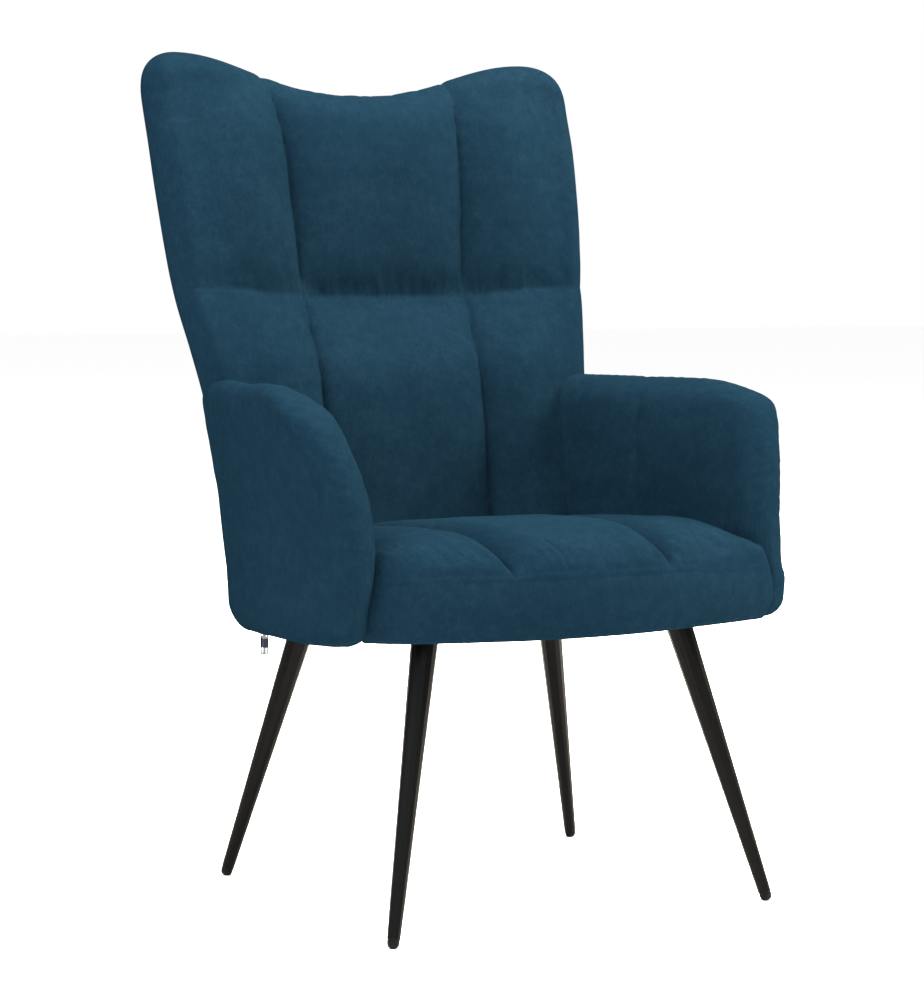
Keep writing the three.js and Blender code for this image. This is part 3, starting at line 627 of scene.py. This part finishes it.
def velvet():
    m, nt, b = new_mat("velvet")
    co = coords(nt)
    big = node(nt, "ShaderNodeTexNoise", Scale=7.0, Detail=4.0, Roughness=0.55)
    mid = node(nt, "ShaderNodeTexNoise", Scale=70.0, Detail=5.0, Roughness=0.6)
    fine = node(nt, "ShaderNodeTexNoise", Scale=900.0, Detail=2.0, Roughness=0.6)
    nap = node(nt, "ShaderNodeTexNoise", Scale=260.0, Detail=3.0, Roughness=0.65)
    mp = node(nt, "ShaderNodeMapping")
    mp.inputs["Scale"].default_value = (1, 1, 0.7)
    nt.links.new(co, mp.inputs[0])
    for n in (big, mid, fine):
        nt.links.new(co, n.inputs["Vector"])
    nt.links.new(mp.outputs[0], nap.inputs["Vector"])
    mixn = node(nt, "ShaderNodeMix", data_type="FLOAT")
    mixn.inputs[0].default_value = 0.62
    nt.links.new(big.outputs[0], mixn.inputs[2])
    nt.links.new(mid.outputs[0], mixn.inputs[3])
    mix2 = node(nt, "ShaderNodeMix", data_type="FLOAT")
    mix2.inputs[0].default_value = 0.42
    nt.links.new(mixn.outputs[0], mix2.inputs[2])
    nt.links.new(nap.outputs[0], mix2.inputs[3])
    col = ramp(nt, mix2.outputs[0], [(0.33, (0.00158, 0.0056, 0.0104)), (0.5, (0.00204, 0.00710, 0.01290)), (0.67, (0.0032, 0.0093, 0.0162))])
    nt.links.new(col, b.inputs["Base Color"])
    b.inputs["Roughness"].default_value = 0.9
    b.inputs["Specular IOR Level"].default_value = 0.0
    b.inputs["Sheen Weight"].default_value = 0.0
    b.inputs["Sheen Roughness"].default_value = 0.55
    b.inputs["Sheen Tint"].default_value = (0.28, 0.64, 0.95, 1)
    bm = node(nt, "ShaderNodeBump", Strength=0.22, Distance=0.0006)
    bm2 = node(nt, "ShaderNodeBump", Strength=0.30, Distance=0.0012)
    nt.links.new(fine.outputs[0], bm.inputs["Height"])
    nt.links.new(nap.outputs[0], bm2.inputs["Height"])
    nt.links.new(bm.outputs[0], bm2.inputs["Normal"])
    nt.links.new(bm2.outputs[0], b.inputs["Normal"])
    return m


def simple(name, c0, c1, rough, metal=0.0, scale=60, bump=0.1, dist=0.0005, stretch=(1, 1, 1), spec=0.5):
    m, nt, b = new_mat(name)
    co = coords(nt)
    mp = node(nt, "ShaderNodeMapping")
    mp.inputs["Scale"].default_value = stretch
    nt.links.new(co, mp.inputs[0])
    n = node(nt, "ShaderNodeTexNoise", Scale=scale, Detail=6.0, Roughness=0.6)
    nt.links.new(mp.outputs[0], n.inputs["Vector"])
    nt.links.new(ramp(nt, n.outputs[0], [(0.3, c0), (0.7, c1)]), b.inputs["Base Color"])
    rr = node(nt, "ShaderNodeMapRange")
    rr.inputs["To Min"].default_value = max(rough - 0.06, 0.02)
    rr.inputs["To Max"].default_value = rough + 0.06
    nt.links.new(n.outputs[0], rr.inputs[0])
    nt.links.new(rr.outputs[0], b.inputs["Roughness"])
    b.inputs["Metallic"].default_value = metal
    b.inputs["Specular IOR Level"].default_value = spec
    bm = node(nt, "ShaderNodeBump", Strength=bump, Distance=dist)
    nt.links.new(n.outputs[0], bm.inputs["Height"])
    nt.links.new(bm.outputs[0], b.inputs["Normal"])
    return m


VELVET = velvet()
BLACK = simple("black_powder_coat", (0.0005, 0.00055, 0.0006), (0.0009, 0.00095, 0.0010), 0.36, 0.0, 900, 0.2, 0.0003, spec=0.035)
TIP = simple("black_plastic", (0.0010, 0.0011, 0.0012), (0.0018, 0.0019, 0.0021), 0.5, 0, 500, 0.2, 0.0003, spec=0.04)
WOOD = simple("plywood", (0.42, 0.27, 0.14), (0.62, 0.44, 0.26), 0.65, 0, 24, 0.25, 0.0008, (1, 1, 9))
BOARD = simple("hardboard", (0.16, 0.09, 0.045), (0.24, 0.15, 0.08), 0.75, 0, 180, 0.3, 0.0006)
STEEL = simple("zinc_steel", (0.45, 0.46, 0.47), (0.62, 0.62, 0.62), 0.32, 1.0, 220, 0.12, 0.0003)
NICKEL = simple("nickel", (0.20, 0.22, 0.25), (0.34, 0.36, 0.39), 0.3, 1.0, 300, 0.08, 0.0002)
WEB = simple("webbing", (0.010, 0.010, 0.012), (0.03, 0.03, 0.034), 0.85, 0, 700, 0.6, 0.0008)
LINING = simple("dust_cloth", (0.012, 0.012, 0.014), (0.022, 0.022, 0.025), 0.95, 0, 1400, 0.5, 0.0006, spec=0.2)
TAPE = simple("zip_tape", (0.008, 0.022, 0.038), (0.014, 0.036, 0.058), 0.8, 0, 1600, 0.5, 0.0004)
FOAM = simple("foam", (0.66, 0.58, 0.36), (0.80, 0.73, 0.50), 0.95, 0, 900, 0.7, 0.0010, spec=0.2)

for ob in (back_front_ob, back_rear_ob, arm_r, arm_l, seat_ob):
    ob.data.materials.append(VELVET)

def pull_mat_painted_reflection(ob):
    """Nickel with a dark blue middle band that is a painted reflection of the velvet, laid along the pull's own length.
    """
    v = np.array([p.co[:] for p in ob.data.vertices])
    ax = int(np.argmax(v.max(0) - v.min(0)))
    lo, hi = v[:, ax].min(), v[:, ax].max()
    M = ob.matrix_world
    ends = [(M @ Vector([lo if i == ax else 0.0 for i in range(3)])).z, (M @ Vector([hi if i == ax else 0.0 for i in range(3)])).z]
    top, tip = (hi, lo) if ends[1] > ends[0] else (lo, hi)
    m, nt, b = new_mat("pull_" + ob.name)
    sp = node(nt, "ShaderNodeSeparateXYZ")
    nt.links.new(coords(nt), sp.inputs[0])
    mr = node(nt, "ShaderNodeMapRange")
    mr.inputs["From Min"].default_value = top
    mr.inputs["From Max"].default_value = tip
    nt.links.new(sp.outputs[ax], mr.inputs[0])
    # painted reflection: the dark blue middle band stands for the velvet mirrored in the nickel
    met, painted_fabric_reflection = (0.085, 0.095, 0.11), (0.0014, 0.0045, 0.014)
    nt.links.new(ramp(nt, mr.outputs[0], [(0.0, met), (0.26, met), (0.29, painted_fabric_reflection), (0.66, painted_fabric_reflection), (0.69, met), (1.0, met)]), b.inputs["Base Color"])
    # painted reflection: metallic is switched off along the same middle band
    k = ramp(nt, mr.outputs[0], [(0.0, (1, 1, 1)), (0.26, (1, 1, 1)), (0.29, (0, 0, 0)), (0.66, (0, 0, 0)), (0.69, (1, 1, 1)), (1.0, (1, 1, 1))])
    nt.links.new(k, b.inputs["Metallic"])
    b.inputs["Roughness"].default_value = 0.35
    b.inputs["Specular IOR Level"].default_value = 0.12
    n = node(nt, "ShaderNodeTexNoise", Scale=700.0, Detail=3.0)
    nt.links.new(coords(nt), n.inputs["Vector"])
    bm = node(nt, "ShaderNodeBump", Strength=0.1, Distance=0.0001)
    nt.links.new(n.outputs[0], bm.inputs["Height"])
    nt.links.new(bm.outputs[0], b.inputs["Normal"])
    return m


by_slot = {"velvet": VELVET, "foam": FOAM, "wood": WOOD, "board": BOARD, "black_steel": BLACK, "black_plastic": TIP, "zinc_steel": STEEL,
           "webbing": WEB, "lining": LINING, "nickel": NICKEL, "zip_tape": TAPE}
slot_of = {s["node"]: s["material_slot"] for s in frame["record"]["subparts"]}
for name, ob in frame["nodes"].items():
    mat = pull_mat_painted_reflection(ob) if name.startswith("zip_pull") else by_slot[slot_of[name]]
    if not ob.material_slots:
        ob.data.materials.append(mat)
    for sl in ob.material_slots:
        sl.material = mat
    if slot_of[name] in ("black_steel", "black_plastic", "zinc_steel", "nickel"):
        ob.data.polygons.foreach_set("use_smooth", [True] * len(ob.data.polygons))
        md = ob.modifiers.new("edges", "EDGE_SPLIT")
        md.split_angle = math.radians(38)

# ------------------------------------------------------------------ riding, replacing
for ob, nodes_, fill in ((back_front_ob, ["back_inner_cover", "back_foam"], 0.7), (back_rear_ob, ["back_outer_cover"], 0.4),
                         (arm_r, ["arm_cover_right", "arm_foam_right"], 0.75), (arm_l, ["arm_cover_left", "arm_foam_left"], 0.75),
                         (seat_ob, ["seat_cover", "seat_foam"], 0.75)):
    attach(ob, "chair")
    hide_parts(*nodes_)

# ------------------------------------------------------------------ floor, light, camera
def area(name, loc, target, size, power, color=(1, 1, 1), size_y=None):
    d = bpy.data.lights.new(name, "AREA")
    d.shape = "RECTANGLE"
    d.size, d.size_y = size, size_y or size
    d.energy, d.color = power, color
    o = bpy.data.objects.new(name, d)
    o.location = loc
    o.rotation_euler = (Vector(target) - Vector(loc)).to_track_quat("-Z", "Y").to_euler()
    scene.collection.objects.link(o)
    return o


bpy.ops.mesh.primitive_plane_add(size=60, location=(0, 0, 0))
floor = bpy.context.object
floor.name = "floor"
fm = bpy.data.materials.new("floor")
fm.use_nodes = True
nt = fm.node_tree
nt.nodes.clear()
dif = node(nt, "ShaderNodeBsdfDiffuse")
fc = node(nt, "ShaderNodeTexCoord")
dist = node(nt, "ShaderNodeVectorMath", operation="LENGTH")
nt.links.new(fc.outputs["Object"], dist.inputs[0])
far = node(nt, "ShaderNodeMapRange")
for k_, v_ in (("From Min", 0.7), ("From Max", 2.6), ("To Min", 0.84), ("To Max", 0.97)):
    far.inputs[k_].default_value = v_
nt.links.new(dist.outputs["Value"], far.inputs[0])
nt.links.new(far.outputs[0], dif.inputs["Color"])
out = node(nt, "ShaderNodeOutputMaterial")
nt.links.new(dif.outputs[0], out.inputs["Surface"])
floor.data.materials.append(fm)

# a studio whose walls and ceiling are evenly white
world = bpy.data.worlds.new("world")
scene.world = world
world.use_nodes = True
nt = world.node_tree
tc = node(nt, "ShaderNodeTexCoord")
sx = node(nt, "ShaderNodeSeparateXYZ")
nt.links.new(tc.outputs["Generated"], sx.inputs[0])
sky = ramp(nt, sx.outputs[2], [(0.0, (1.0, 1.0, 1.0)), (0.30, (1.0, 1.0, 1.0)), (1.0, (1.0, 1.0, 1.0))])
nt.links.new(sky, nt.nodes["Background"].inputs[0])
nt.nodes["Background"].inputs[1].default_value = 1.0
area("key", (3.1, -1.3, 2.6), (0, 0, 0.5), 1.6, 835, (1.08, 1.0, 0.86))
area("top_rear", (0.3, 0.6, 3.3), (0, 0, 0.5), 1.6, 235, (1.14, 1.0, 0.84))
area("top_front", (0.2, -1.0, 3.3), (0, 0, 0.5), 1.6, 235, (1.14, 1.0, 0.84))
area("left_high", (-2.2, -0.3, 3.0), (0, 0, 0.5), 1.6, 350, (1.06, 1.0, 0.92))
area("left", (-3.0, -1.6, 2.0), (0, 0, 0.5), 1.6, 70, (0.85, 1.0, 1.05))
area("front", (-1.4, -3.4, 1.5), (0, 0, 0.5), 1.6, 45, (0.85, 1.0, 1.05))

cd = bpy.data.cameras.new("camera")
cam = bpy.data.objects.new("camera", cd)
scene.collection.objects.link(cam)
scene.camera = cam
cd.sensor_width = 36
cd.lens = 102.46
cam.location = (-1.6063, -2.7962 + YS * MM, 0.6984)
cam.rotation_euler = (math.radians(90 - 4.468), 0, math.radians(-29.299))
cd.clip_end = 100
scene.view_settings.view_transform = "Standard"
